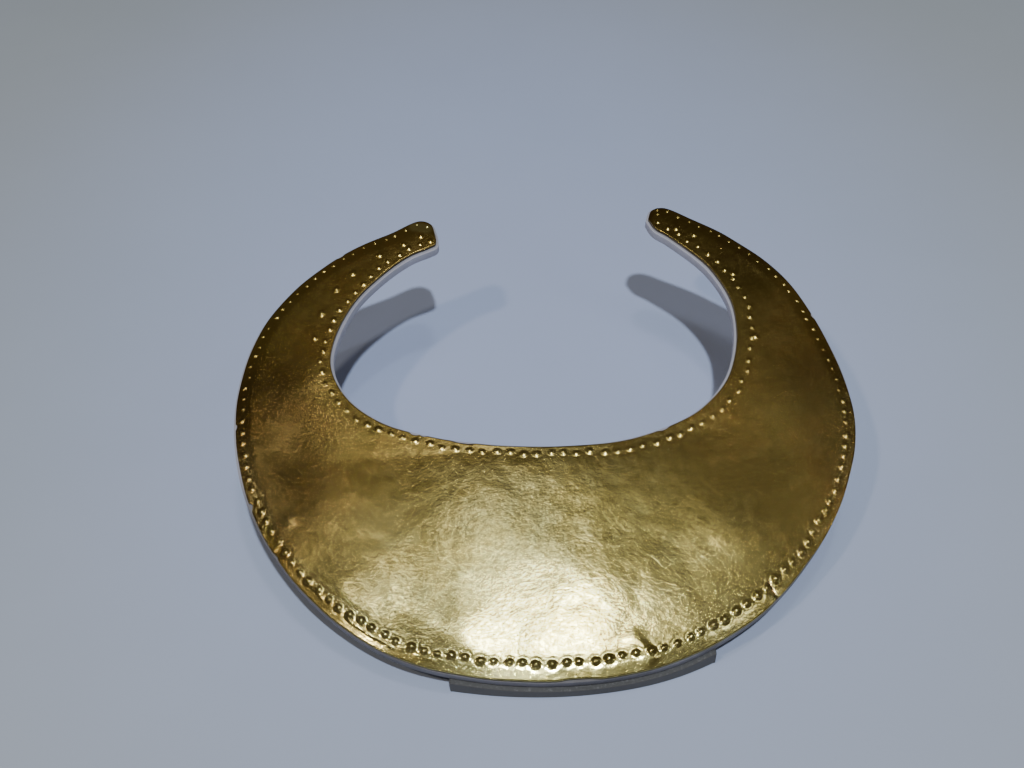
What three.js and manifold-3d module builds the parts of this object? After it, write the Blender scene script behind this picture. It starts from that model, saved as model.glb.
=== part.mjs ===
// A crescent collar of hammered sheet gold, with a row of raised bosses along each edge,
// lying on the tilted crescent board and the low wedge foot that carry it.
//
// Collar frame: x to the right, y from the belly's front edge towards the horns,
// z up from the board's underside. The whole stand is tilted about its front edge,
// and then set on the ground with its bounding box centred on the origin.

import * as THREE from 'three';
import { mergeVertices } from 'three/addons/utils/BufferGeometryUtils.js';
import Module from 'manifold-3d';

// Driving dimensions, in millimetres and degrees

const TILT_DEG = 15;

const BOARD_THICKNESS = 4;
const BOARD_BORDER = 0.9; // how far the board shows beyond the gold
const REST_GAP = 0.3; // clearance between pieces that rest on each other

const SHEET_THICKNESS = 0.6;
const CROWN_RISE = 1.1; // height of the sheet's middle above its turned-down margin
const CROWN_MARGIN = 7; // width over which the margin turns down

const FOOT_HEIGHT = 4; // of the foot's front face
const FOOT_LEFT = -39;
const FOOT_RIGHT = 47;
const FOOT_DEPTH = 76;
const FOOT_PROUD = 0.6; // how far the foot's front stands in front of the board
const FOOT_STEPS = 240; // steps along the whole edge where the foot's front follows it

const OUTER_ROW = { count: 121, insetBelly: 5.4, insetHorn: 2.0, radiusBelly: 1.5, radiusHorn: 1.0 };
const INNER_ROW = { count: 72, insetBelly: 2.8, insetHorn: 3.6, radiusBelly: 1.4, radiusHorn: 1.0 };
const BOSS_RISE = 0.62; // a boss's height as a fraction of its radius
const BOSS_SIDES = 6;

const EDGE_STATIONS = 88; // steps along the crescent, from one horn's tip to the other's
const TIP_CROWDING = 0.6; // how much closer the steps are at the horns' tips, from 0 to 1
const RUNGS = [0, 0.05, 0.15, 0.5, 0.85, 0.95, 1]; // shares of the width at each station

// The two edges run from the middle of the left horn's end to the middle of the right horn's end.

const OUTER_EDGE = [
  [-32.7, 178], [-34.4, 184], [-38.5, 185.8], [-50.5, 180.5], [-66, 173.5], [-85, 159],
  [-99.5, 139], [-107, 112], [-106, 85], [-98, 59.5], [-82, 34.5], [-57, 13.5],
  [-29.5, 3.8], [4.5, 0], [34, 3.6], [62, 16], [82, 33], [97, 52],
  [108, 76], [110, 95], [106, 122.5], [96.5, 148.5], [80.5, 167], [66.5, 178],
  [57, 184], [52.5, 183], [50.6, 179],
];

const INNER_EDGE = [
  [-32.7, 178], [-33, 174], [-35.5, 172.6], [-43, 169.5], [-55, 160.5], [-66.5, 147],
  [-74, 126], [-70.5, 111.5], [-59, 99], [-40, 90.3], [-12.5, 84.2], [15, 82.2],
  [33, 83.8], [56, 92.5], [70, 108], [76, 133], [70.5, 153], [57.5, 169.5],
  [52.5, 174.3], [50.6, 179],
];

const TILT = THREE.MathUtils.degToRad(TILT_DEG);
const SHEET_UNDERSIDE = BOARD_THICKNESS + REST_GAP;

const wasm = await Module();
wasm.setup();

function edgeCurve(points) {
  const knots = points.map(([x, y]) => new THREE.Vector3(x, y, 0));
  return new THREE.CatmullRomCurve3(knots, false, 'centripetal');
}

const outerCurve = edgeCurve(OUTER_EDGE);
const innerCurve = edgeCurve(INNER_EDGE);

// Points along an edge, crowded towards the small round ends of the horns

function edgePoints(curve, steps = EDGE_STATIONS) {
  const points = [];
  for (let step = 0; step <= steps; step++) {
    const share = step / steps;
    const eased = share - (TIP_CROWDING * Math.sin(2 * Math.PI * share)) / (2 * Math.PI);
    points.push(curve.getPointAt(eased));
  }
  return points;
}

// Solids from triangles, and back

function asManifold(geometry) {
  const bare = geometry.clone();
  bare.deleteAttribute('normal');
  bare.deleteAttribute('uv');
  const merged = mergeVertices(bare, 1e-4);
  const corners = Array.from(merged.index.array);
  const kept = [];
  for (let i = 0; i < corners.length; i += 3) {
    const [a, b, c] = corners.slice(i, i + 3);
    if (a !== b && b !== c && c !== a) kept.push(a, b, c);
  }
  const mesh = new wasm.Mesh({
    numProp: 3,
    vertProperties: new Float32Array(merged.attributes.position.array),
    triVerts: new Uint32Array(kept),
  });
  return new wasm.Manifold(mesh);
}

function asGeometry(manifold) {
  const mesh = manifold.getMesh();
  const geometry = new THREE.BufferGeometry();
  geometry.setAttribute('position', new THREE.BufferAttribute(mesh.vertProperties, 3));
  geometry.setIndex(new THREE.BufferAttribute(mesh.triVerts, 1));
  return geometry;
}

// Gold collar: a sheet whose middle is gently crowned and whose margins turn down

function crown(depth) {
  return CROWN_RISE * THREE.MathUtils.smoothstep(depth, 0, CROWN_MARGIN);
}

function collarSheet() {
  const outer = edgePoints(outerCurve);
  const inner = edgePoints(innerCurve);
  const positions = [];
  for (const lift of [0, SHEET_THICKNESS]) {
    for (let station = 0; station <= EDGE_STATIONS; station++) {
      const width = outer[station].distanceTo(inner[station]);
      for (const share of RUNGS) {
        const point = outer[station].clone().lerp(inner[station], share);
        const depth = Math.min(share, 1 - share) * width;
        positions.push(point.x, point.y, SHEET_UNDERSIDE + lift + crown(depth));
      }
    }
  }
  const rungs = RUNGS.length;
  const layer = (EDGE_STATIONS + 1) * rungs;
  const faces = [];
  const quad = (a, b, c, d) => faces.push(a, b, c, a, c, d);
  for (let station = 0; station < EDGE_STATIONS; station++) {
    for (let rung = 0; rung < rungs - 1; rung++) {
      const here = station * rungs + rung;
      const next = here + rungs;
      quad(here, here + 1, next + 1, next);
      quad(layer + here, layer + next, layer + next + 1, layer + here + 1);
    }
    const outerHere = station * rungs;
    quad(outerHere, outerHere + rungs, layer + outerHere + rungs, layer + outerHere);
    const innerHere = outerHere + rungs - 1;
    quad(innerHere, layer + innerHere, layer + innerHere + rungs, innerHere + rungs);
  }
  const geometry = new THREE.BufferGeometry();
  geometry.setAttribute('position', new THREE.Float32BufferAttribute(positions, 3));
  geometry.setIndex(faces);
  return asManifold(geometry);
}

// A boss is a low faceted point punched up from behind, rooted inside the sheet's thickness.

function boss(x, y, height, radius) {
  const profile = [
    new THREE.Vector2(0, -SHEET_THICKNESS / 2),
    new THREE.Vector2(radius, -SHEET_THICKNESS / 2),
    new THREE.Vector2(0, radius * BOSS_RISE),
  ];
  const dome = new THREE.LatheGeometry(profile, BOSS_SIDES);
  dome.rotateX(Math.PI / 2);
  dome.translate(x, y, height);
  return asManifold(dome);
}

function bossRow(curve, row, inwards) {
  const bosses = [];
  for (let i = 0; i < row.count; i++) {
    const share = (i + 1.5) / (row.count + 2);
    const edge = curve.getPointAt(share);
    const along = curve.getTangentAt(share);
    const towardsHorn = Math.abs(2 * share - 1);
    const inset = THREE.MathUtils.lerp(row.insetBelly, row.insetHorn, towardsHorn);
    const radius = THREE.MathUtils.lerp(row.radiusBelly, row.radiusHorn, towardsHorn);
    const x = edge.x - inwards * along.y * inset;
    const y = edge.y + inwards * along.x * inset;
    const height = SHEET_UNDERSIDE + SHEET_THICKNESS + crown(inset) - radius * 0.1;
    bosses.push(boss(x, y, height, radius));
  }
  return bosses;
}

function goldCollar() {
  const solids = [
    collarSheet(),
    ...bossRow(outerCurve, OUTER_ROW, 1),
    ...bossRow(innerCurve, INNER_ROW, -1),
  ];
  return asGeometry(wasm.Manifold.union(solids));
}

// Backing board: the collar's outline, grown by the border, at one thickness

function grownOutline(border, steps = EDGE_STATIONS) {
  const outer = edgePoints(outerCurve, steps);
  const inner = edgePoints(innerCurve, steps).reverse();
  const loop = [...outer.slice(0, -1), ...inner.slice(0, -1)];
  return loop.map((point, i) => {
    const before = loop[(i + loop.length - 1) % loop.length];
    const after = loop[(i + 1) % loop.length];
    const along = after.clone().sub(before).normalize();
    return new THREE.Vector2(point.x + along.y * border, point.y - along.x * border);
  });
}

function backingBoard() {
  const shape = new THREE.Shape(grownOutline(BOARD_BORDER));
  return new THREE.ExtrudeGeometry(shape, { depth: BOARD_THICKNESS, bevelEnabled: false });
}

// Foot: an upright block with the belly's curved front, sliced off along the board's underside

function mountFoot() {
  const front = grownOutline(BOARD_BORDER + FOOT_PROUD, FOOT_STEPS)
    .slice(0, FOOT_STEPS)
    .filter((point) => point.x > FOOT_LEFT && point.x < FOOT_RIGHT && point.y < FOOT_DEPTH)
    .map((point) => new THREE.Vector2(point.x, point.y * Math.cos(TILT)));
  const first = front[0];
  const last = front[front.length - 1];
  const shape = new THREE.Shape([
    new THREE.Vector2(FOOT_LEFT, first.y),
    ...front,
    new THREE.Vector2(FOOT_RIGHT, last.y),
    new THREE.Vector2(FOOT_RIGHT, FOOT_DEPTH),
    new THREE.Vector2(FOOT_LEFT, FOOT_DEPTH),
  ]);
  const block = new THREE.ExtrudeGeometry(shape, { depth: FOOT_DEPTH, bevelEnabled: false });
  const underBoard = new THREE.BoxGeometry(400, 400, 200);
  underBoard.translate(0, 0, -100 - REST_GAP);
  underBoard.rotateX(TILT);
  underBoard.translate(0, 0, FOOT_HEIGHT);
  return asGeometry(asManifold(block).intersect(asManifold(underBoard)));
}

// The stand as a scene graph

const gold = new THREE.MeshStandardMaterial({ color: 0xb4913f, roughness: 0.3, metalness: 1 });
const paleBoard = new THREE.MeshStandardMaterial({ color: 0xc9cad2, roughness: 0.6, metalness: 0 });
const greyFoot = new THREE.MeshStandardMaterial({ color: 0x8e8f92, roughness: 0.6, metalness: 0 });

function piece(name, geometry, material) {
  const mesh = new THREE.Mesh(geometry, material);
  mesh.name = name;
  return mesh;
}

const tilted = new THREE.Group();
tilted.rotation.x = TILT;
tilted.position.z = FOOT_HEIGHT;
tilted.add(piece('gold_collar', goldCollar(), gold));
tilted.add(piece('backing_board', backingBoard(), paleBoard));

const stand = new THREE.Group();
stand.add(tilted);
stand.add(piece('mount_foot', mountFoot(), greyFoot));

const group = new THREE.Group();
group.add(stand);
group.updateMatrixWorld(true);
const bounds = new THREE.Box3().setFromObject(group, true);
const centre = bounds.getCenter(new THREE.Vector3());
stand.position.set(-centre.x, -centre.y, -bounds.min.z);

export default group;
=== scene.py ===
"""Looks of a crescent collar of hammered sheet gold on its display board and foot.

The collar frame has x to the right, y from the belly's front edge towards the horns and
z up from the board's underside, in millimetres. It is tilted about the belly's front edge
and then moved to the row frame, which is in metres.
"""

import math

import bmesh
import bpy
import numpy as np
from mathutils import Matrix, Vector, noise


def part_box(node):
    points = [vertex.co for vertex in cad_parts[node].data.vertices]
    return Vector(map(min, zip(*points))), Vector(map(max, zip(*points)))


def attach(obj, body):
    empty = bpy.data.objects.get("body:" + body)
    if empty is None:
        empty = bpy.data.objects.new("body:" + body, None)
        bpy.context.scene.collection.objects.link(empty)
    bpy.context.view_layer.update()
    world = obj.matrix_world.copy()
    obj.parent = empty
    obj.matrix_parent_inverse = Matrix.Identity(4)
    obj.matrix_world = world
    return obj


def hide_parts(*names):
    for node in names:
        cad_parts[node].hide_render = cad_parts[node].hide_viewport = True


bl_info = {
    "name": "Gold crescent collar",
    "version": (1, 0, 0),
    "blender": (4, 5, 0),
    "location": "View3D > Sidebar > Collar",
    "description": "Builds a hammered gold crescent collar on its display board",
    "category": "Add Mesh",
}

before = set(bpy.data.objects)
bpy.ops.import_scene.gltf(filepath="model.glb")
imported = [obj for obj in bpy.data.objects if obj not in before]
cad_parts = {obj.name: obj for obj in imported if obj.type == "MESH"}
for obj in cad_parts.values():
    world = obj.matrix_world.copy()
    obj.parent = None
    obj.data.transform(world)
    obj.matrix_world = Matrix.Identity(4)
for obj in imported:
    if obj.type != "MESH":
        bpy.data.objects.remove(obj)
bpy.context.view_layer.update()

# Driving dimensions, in millimetres

MM = 0.001
TILT = math.radians(15)
BOARD_THICKNESS = 4.0
BOARD_BORDER = 0.9  # how far the board shows round the gold
FRONT_TUCK = 0.75  # how much less it shows along the belly's front
REST_GAP = 0.3  # gap from foot to board and from board to gold
SHEET_THICKNESS = 0.6
FOOT_HEIGHT = 4.0
FOOT_LEFT = -39.0
FOOT_RIGHT = 47.0
FOOT_DEPTH = 76.0
FOOT_PROUD = 0.6  # how far the foot stands out in front of the board
TIP_CROWDING = 0.6  # how much the cross lines crowd towards the horns' tips
MARGIN_WIDTH = 4.3  # how far in from the edge the turned-down margin reaches
MARGIN_SLOPE = 0.29  # how much it falls for each millimetre towards the edge
MARGIN_BEND = 2.2  # how sharply it bends: the bend is about 1 / MARGIN_BEND millimetres wide
SWELL = 1.1  # how far the horns swell above the sheet's rim
BELLY_SWELL = 0.9  # and how much more the belly does
OUTER_FALL = 0.65  # share of the swell that is lost towards the outer edge
INNER_FALL = 0.15  # and towards the inner edge of the horns
INNER_EASE = 0.14  # how much less of it is lost towards the belly's inner edge
BACK_FROM = 28.0  # where the belly's back half starts to curve down towards the neck
BACK_REACH = 55.0  # how far it curves
BACK_CURVE = 0.0005  # and how strongly, in height for each squared millimetre
CALM_EDGE = 3.0  # width of the strip along each edge that lies flatter than the rest
PATH_HEIGHT = BOARD_THICKNESS + 1.5  # where the helper paths of the bosses run

# Spans of the crescent, in shares of its length: rising from, to, falling from, to

BELLY_SPAN = (0.2, 0.42, 0.58, 0.8)
FRONT_SPAN = (0.26, 0.34, 0.74, 0.82)

# The two edges run from the middle of the left horn's end to the middle of the right horn's end.

OUTER_EDGE = (
    (-32.7, 178), (-34.4, 184), (-38.5, 185.8), (-50.5, 180.5), (-66, 173.5), (-85, 159),
    (-99.5, 139), (-107, 112), (-106, 85), (-98, 59.5), (-82, 34.5), (-57, 13.5),
    (-29.5, 3.8), (4.5, 0), (34, 3.6), (62, 16), (82, 33), (97, 52),
    (108, 76), (110, 95), (106, 122.5), (96.5, 148.5), (80.5, 167), (66.5, 178),
    (57, 184), (52.5, 183), (50.6, 179),
)
INNER_EDGE = (
    (-32.7, 178), (-33, 174), (-35.5, 172.6), (-43, 169.5), (-55, 160.5), (-66.5, 147),
    (-74, 126), (-70.5, 111.5), (-59, 99), (-40, 90.3), (-12.5, 84.2), (15, 82.2),
    (33, 83.8), (56, 92.5), (70, 108), (76, 133), (70.5, 153), (57.5, 169.5),
    (52.5, 174.3), (50.6, 179),
)

# Rows of bosses: how far each stands in from its edge, by the share of the edge's length

OUTER_INSETS = (
    (0.0, 1.6), (0.1, 1.7), (0.2, 2.0), (0.3, 2.8), (0.38, 4.2), (0.46, 5.2),
    (0.52, 5.6), (0.6, 5.0), (0.68, 3.8), (0.8, 2.8), (0.9, 1.8), (1.0, 1.2),
)
INNER_INSETS = (
    (0.0, 2.8), (0.12, 2.2), (0.25, 3.6), (0.4, 2.8), (0.52, 2.4), (0.64, 4.2),
    (0.74, 5.4), (0.84, 5.6), (0.92, 3.4), (1.0, 2.2),
)
ROW_START = 0.012  # share of each edge left bare at the horns' tips
PATH_POINTS = 240

# Bigger, softer bosses of the doubled lines on the horns: x, y and radius

STRAY_BOSSES = (
    (-38.4, 177.9, 1.2), (-45.2, 174.6, 1.1), (-54.6, 170.2, 1.3), (-65.0, 162.6, 1.35),
    (-71.2, 155.7, 1.3), (-77.0, 145.3, 1.35), (-79.6, 134.5, 1.1),
    (81.7, 134.2, 1.2), (81.3, 120.9, 1.3), (78.6, 149.7, 1.3), (60.5, 172.9, 1.3),
    (66.9, 169.2, 1.1), (54.6, 181.0, 0.9),
)

# Damage: x, y, width along the edge and depth of each nick in either edge

EDGE_NICKS = (
    (-101.3, 69.2, 1.3, 1.1), (-107.5, 100.2, 0.9, 0.7), (-93.1, 50.3, 1.2, 0.5),
    (2.0, 0.6, 5.5, 0.55), (68.6, 20.2, 0.8, 1.5), (-70.0, 171.5, 1.4, 0.4),
    (104.5, 128.0, 1.0, 0.5), (-45.1, 92.1, 1.6, 0.7), (-42.1, 91.1, 1.1, 0.5),
    (-28.5, 86.8, 3.4, 0.45), (42.0, 86.0, 1.8, 0.5),
)

# Dents and bulges of the sheet: x, y, radius and height, negative for a dent

DENTS = (
    (-88.9, 63.2, 1.9, 0.42), (2.4, 24.2, 1.5, -0.16), (-71.0, 38.0, 8.0, 0.55),
    (-66.0, 30.5, 6.0, 0.3), (-36.2, 18.4, 9.0, 0.5), (-44.0, 50.0, 20.0, 0.1),
    (34.0, 46.0, 20.0, -0.35), (60.0, 45.0, 12.0, 0.5), (0.0, 58.0, 18.0, -0.3),
    (87.4, 147.5, 7.0, -0.4), (-86.0, 90.0, 14.0, -0.5), (88.0, 90.0, 15.0, 0.4),
    (-80.0, 120.0, 9.0, 0.35), (-48.0, 27.0, 6.0, 0.2), (-30.0, 12.0, 6.0, 0.18),
)

# Creases: two ends, the ridge's half width and its height

CREASES = (
    ((-81.0, 37.8), (-78.0, 34.0), 0.4, 0.22), ((-70.5, 26.6), (-63.5, 20.8), 0.45, 0.28),
    ((-63.5, 20.8), (-56.0, 15.6), 0.45, 0.28), ((-49.0, 12.8), (-43.4, 10.2), 0.35, 0.16),
)

# Folds: two ends, how far the sheet rises gently towards the fold, and its height there.
# The far side, to the right when going from the first end to the second, drops steeply.

FOLDS = (
    ((26.0, 5.0), (20.6, 13.2), 7.0, 0.24),
)
FOLD_DROP = 1.6  # width of the steep far side of a fold

# Marks of colour: two ends, half width, strength and the tone they take. Some of them are painted
# shade, as marked.

PATCHES = (
    # painted shade: a dark line along the crack at the right
    ((66.4, 25.8), (69.2, 19.0), 0.55, 1.0, "smoke_and_shade"),
    ((-40.5, 182.5), (-36.0, 181.0), 3.2, 0.6, "light"),
    ((-31.4, 87.9), (-25.7, 85.9), 1.3, 0.8, "smoke_and_shade"),
    ((-1.1, 1.6), (4.9, 1.1), 1.1, 0.75, "stain_and_shade"),
    # painted shade: this mark and the next darken the belly's left and right sides, where the gold
    # mirrors dark surroundings
    ((-97.0, 70.0), (-100.0, 104.0), 30.0, 0.6, "smoke_and_shade"),
    ((102.0, 70.0), (104.0, 100.0), 18.0, 0.3, "smoke_and_shade"),
    ((-96.5, 60.5), (-93.0, 52.5), 1.6, 0.5, "stain_and_shade"),
    ((62.0, 22.5), (66.0, 24.5), 0.8, 0.6, "stain_and_shade"),
)

# Long scratches: two ends

SCRATCHES = (
    ((14.1, 34.2), (18.6, 26.1)), ((-31.0, 59.8), (-26.4, 62.3)), ((-28.6, 56.3), (-25.1, 57.8)),
    ((6.0, 47.0), (11.5, 44.5)), ((30.0, 38.0), (33.0, 34.0)),
)
SCRATCH_WIDTH = 0.3

TURNED_FROM = (-96.9, 58.5)  # where the front margin starts to be turned down
TURNED_TO = (67.5, 21.0)  # and where it stops, at the crack
TURN_LENGTH = 2.0  # how soon it turns, along the edge

# Unevenness of the cut: how far the edge lies in, then waves of depth, length and start

CUT_INSET = 0.09
CUT_WAVES = ((0.07, 7.3, 0.0), (0.05, 2.9, 1.0))
NICK_REACH = 8.0  # a nick further than this from an edge belongs to the other edge
NARROW = 6.0  # the crescent keeps its ends whole where it is narrower than this

# Unevenness that the hammer left: height, size and where in the noise it is read

HAMMER_WAVES = ((0.13, 26, 3.1), (0.05, 9, 7.7), (0.03, 3.6, 1.3))

# Rows that round the sheet's edge: how far out and how far down each lies

RIM_ROWS = ((0.10, 0.10), (0.13, 0.30), (0.06, 0.50))

# Bosses: spread of their sizes, and the shares of the collar's depth where they shrink

BOSS_SPREAD = (0.76, 1.12)
SHRINK_FROM, SHRINK_TO = 0.12, 0.62
DOME_POWER = 1.35  # a higher power makes a boss more pointed
RING_REACH, RING_WIDTH = 1.3, 0.28  # the ring round a boss, in its radii


# The crescent's edges


def spline(knots, steps=48):
    """Points of the centripetal Catmull-Rom curve through the knots."""
    knots = np.array(knots, float)
    ends = (2 * knots[:1] - knots[1:2], 2 * knots[-1:] - knots[-2:-1])
    padded = np.concatenate([ends[0], knots, ends[1]])
    gaps = np.sqrt(np.linalg.norm(np.diff(padded, axis=0), axis=1))
    t = np.linspace(0, 1, steps, endpoint=False)[:, None]
    spans = []
    for i in range(1, len(padded) - 2):
        p0, p1, p2, p3 = padded[i - 1:i + 3]
        d0, d1, d2 = gaps[i - 1:i + 2]
        leave = d1 * ((p1 - p0) / d0 - (p2 - p0) / (d0 + d1) + (p2 - p1) / d1)
        reach = d1 * ((p2 - p1) / d1 - (p3 - p1) / (d1 + d2) + (p3 - p2) / d2)
        square = -3 * p1 + 3 * p2 - 2 * leave - reach
        cube = 2 * p1 - 2 * p2 + leave + reach
        spans.append(p1 + leave * t + square * t ** 2 + cube * t ** 3)
    return np.concatenate(spans + [knots[-1:]])


class Edge:
    """One edge of the crescent, read by the share of its length."""

    def __init__(self, knots, inwards):
        self.line = spline(knots)
        steps = np.linalg.norm(np.diff(self.line, axis=0), axis=1)
        run = np.concatenate([[0.0], np.cumsum(steps)])
        self.length = run[-1]
        self.shares = run / run[-1]
        self.inwards = inwards

    def at(self, share):
        """Points at these shares."""
        return np.stack([np.interp(share, self.shares, self.line[:, k]) for k in (0, 1)], -1)

    def inward(self, share):
        """Unit vectors into the sheet at these shares."""
        reach = 0.5 / self.length
        ahead = self.at(np.minimum(share + reach, 1)) - self.at(np.maximum(share - reach, 0))
        ahead /= np.linalg.norm(ahead, axis=-1, keepdims=True)
        return self.inwards * np.stack([-ahead[..., 1], ahead[..., 0]], -1)

    def nearest(self, point):
        """The share of the edge's point nearest to this one, and how far off it is."""
        off = np.linalg.norm(self.line - np.array(point), axis=1)
        return self.shares[off.argmin()], off.min()


OUTER = Edge(OUTER_EDGE, 1)
INNER = Edge(INNER_EDGE, -1)


def eased(stations):
    """Shares along the crescent, crowded towards the small round ends of the horns."""
    share = np.linspace(0, 1, stations + 1)
    return share - TIP_CROWDING * np.sin(2 * math.pi * share) / (2 * math.pi)


def smooth(value, low, high):
    """Smoothstep of value from low to high."""
    t = np.clip((value - low) / (high - low), 0, 1)
    return t * t * (3 - 2 * t)


def span(value, rise_from, rise_to, fall_from, fall_to):
    """1 within a span, easing to 0 beyond both of its ends."""
    return smooth(value, rise_from, rise_to) * (1 - smooth(value, fall_from, fall_to))


# Collar frame to row frame


def row_origin():
    """Where the collar frame's origin lies in the row frame, in metres, read off the foot."""
    low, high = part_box("mount_foot")
    return low.x - FOOT_LEFT * MM, high.y - FOOT_DEPTH * MM


def to_row(points):
    """Points of the tilted collar frame, in millimetres, as points of the row frame."""
    x, y, z = (np.asarray(points, float) * MM).T
    x0, y0 = row_origin()
    cos, sin = math.cos(TILT), math.sin(TILT)
    return np.stack([x + x0, y * cos - z * sin + y0, FOOT_HEIGHT * MM + y * sin + z * cos], -1)


# Meshes


def mesh_object(name, points, faces, material, values=None, tilted=True):
    """A closed mesh object at the origin from points and faces, with doubled points merged."""
    mesh = bpy.data.meshes.new(name)
    mesh.from_pydata((to_row(points) if tilted else np.asarray(points)).tolist(), [], faces)
    for label, numbers in (values or {}).items():
        mesh.attributes.new(label, "FLOAT", "POINT").data.foreach_set("value", numbers)
    made = bmesh.new()
    made.from_mesh(mesh)
    bmesh.ops.remove_doubles(made, verts=made.verts, dist=2e-6)
    bmesh.ops.dissolve_degenerate(made, edges=made.edges, dist=1e-7)
    open_edges = [e for e in made.edges if len(e.link_faces) != 2]
    if open_edges:
        where = open_edges[0].verts[0].co
        raise RuntimeError(f"{name} has {len(open_edges)} open edges, one at {where}")
    for face in made.faces:
        face.smooth = True
    made.to_mesh(mesh)
    made.free()
    mesh.materials.append(material)
    piece = bpy.data.objects.new(name, mesh)
    bpy.context.scene.collection.objects.link(piece)
    return piece


def plain_mesh(piece):
    """Turns the piece with its modifiers into a plain mesh, and removes them."""
    bpy.context.view_layer.update()
    graph = bpy.context.evaluated_depsgraph_get()
    mesh = bpy.data.meshes.new_from_object(piece.evaluated_get(graph), depsgraph=graph)
    mesh.name = piece.name
    piece.modifiers.clear()
    piece.data = mesh
    return piece


class Surface:
    """Rows of points collected into one mesh, with a value for each point."""

    def __init__(self):
        self.rows, self.values, self.faces, self.count = [], [], [], 0

    def row(self, points, value):
        """Adds a row of points and returns their numbers."""
        ids = np.arange(self.count, self.count + len(points))
        self.rows.append(points)
        self.values.append(np.full(len(points), value))
        self.count += len(points)
        return ids

    def object(self, name, attribute, material):
        """The mesh object, with the values as an attribute of its points."""
        points = np.concatenate(self.rows)
        return mesh_object(name, points, self.faces, material,
                           {attribute: np.concatenate(self.values)})

    def strip(self, a, b):
        """Quads between two rows of equal length, facing up when b lies inwards of a."""
        self.faces += np.stack([a[:-1], a[1:], b[1:], b[:-1]], 1).tolist()

    def zip(self, a, a_shares, b, b_shares):
        """Triangles between two rows of unequal length, by their shares along the crescent."""
        i = j = 0
        while i < len(a) - 1 or j < len(b) - 1:
            step_a = j == len(b) - 1
            if not step_a and i < len(a) - 1:
                step_a = a_shares[i + 1] < b_shares[j + 1]
            if step_a:
                self.faces.append((int(a[i]), int(a[i + 1]), int(b[j])))
                i += 1
            else:
                self.faces.append((int(a[i]), int(b[j + 1]), int(b[j])))
                j += 1


# Gold collar: the hammered sheet


def edge_loss(share, edge):
    """How far the nicks and the unevenness of the cut bring an edge in, in millimetres."""
    along = share * edge.length
    loss = CUT_INSET
    for depth, size, start in CUT_WAVES:
        loss = loss + depth * np.sin(along / size + start)
    for x, y, width, depth in EDGE_NICKS:
        centre, off = edge.nearest((x, y))
        if off < NICK_REACH:
            loss = loss + depth * np.exp(-(((along - centre * edge.length) / width) ** 4))
    return loss


def ribs(stations):
    """Shares, outer points and inner points of the crescent's cross lines."""
    share = eased(stations)
    outer, inner = OUTER.at(share), INNER.at(share)
    across = inner - outer
    width = np.linalg.norm(across, axis=1)
    across /= np.maximum(width, 1e-6)[:, None]
    narrow = np.minimum(1, width / NARROW)
    outer = outer + across * (edge_loss(share, OUTER) * narrow)[:, None]
    inner = inner - across * (edge_loss(share, INNER) * narrow)[:, None]
    return share, outer, inner


def turned(share):
    """1 along the part of the outer margin that is turned down, 0 elsewhere."""
    start, _ = OUTER.nearest(TURNED_FROM)
    stop, _ = OUTER.nearest(TURNED_TO)
    soft = TURN_LENGTH / OUTER.length
    return span(share, start, start + soft, stop - soft, stop)


def crease_height(x, y):
    """Height of the sharp creases at these points."""
    height = np.zeros_like(x)
    for (x0, y0), (x1, y1), half, rise in CREASES:
        dx, dy = x1 - x0, y1 - y0
        t = np.clip(((x - x0) * dx + (y - y0) * dy) / (dx * dx + dy * dy), 0, 1)
        off = np.hypot(x - x0 - t * dx, y - y0 - t * dy)
        height += rise * np.clip(1 - off / half, 0, 1)
    return height


def fold_height(x, y):
    """Height of the one-sided folds at these points."""
    height = np.zeros_like(x)
    for (x0, y0), (x1, y1), reach, rise in FOLDS:
        length = math.hypot(x1 - x0, y1 - y0)
        dx, dy = (x1 - x0) / length, (y1 - y0) / length
        along = (x - x0) * dx + (y - y0) * dy
        left = (y - y0) * dx - (x - x0) * dy
        shape = np.where(left > 0, 1 - left / reach, 1 + left / FOLD_DROP)
        height += rise * np.clip(shape, 0, 1) * span(along, -0.3 * reach, 0, length, length + 1.5)
    return height


def wave(x, y, size, seed):
    """Smooth noise from -1 to 1 with features of this size, in millimetres."""
    flat = [noise.noise((a / size, b / size, seed)) for a, b in zip(x, y)]
    return np.array(flat)


def hammered(x, y):
    """Unevenness that the hammer left in the sheet, in millimetres."""
    return sum(height * wave(x, y, size, seed) for height, size, seed in HAMMER_WAVES)


def sheet_top(points, share, outer_depth, inner_depth):
    """Height of the sheet's upper face at these points of the collar plane."""
    x, y = points[:, 0], points[:, 1]
    bent = turned(share)
    rim = BOARD_THICKNESS + REST_GAP + SHEET_THICKNESS
    belly = span(share, *BELLY_SPAN)
    middle = SWELL + BELLY_SWELL * belly
    flat_drop = OUTER_FALL * middle * (1 - smooth(outer_depth, -1.5, 7))
    short = MARGIN_BEND * (MARGIN_WIDTH - outer_depth)
    bent_drop = MARGIN_SLOPE * np.logaddexp(0, short) / MARGIN_BEND
    outer_drop = flat_drop + (bent_drop - flat_drop) * bent
    inner_drop = (INNER_FALL - INNER_EASE * belly) * middle * (1 - smooth(inner_depth, -1.0, 6))
    calm = smooth(np.minimum(outer_depth, inner_depth), 0.0, CALM_EDGE)
    back_drop = BACK_CURVE * np.clip(y - BACK_FROM, 0, BACK_REACH) ** 2 * belly
    rise = middle - outer_drop - inner_drop - back_drop
    for cx, cy, radius, height in DENTS:
        off = ((x - cx) ** 2 + (y - cy) ** 2) / radius ** 2
        rise = rise + height * np.exp(-off) * (0.25 + 0.75 * calm)
    rise = rise + hammered(x, y) * (0.3 + 0.7 * calm) + crease_height(x, y) + fold_height(x, y)
    return rim + np.maximum(rise, 0)


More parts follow.
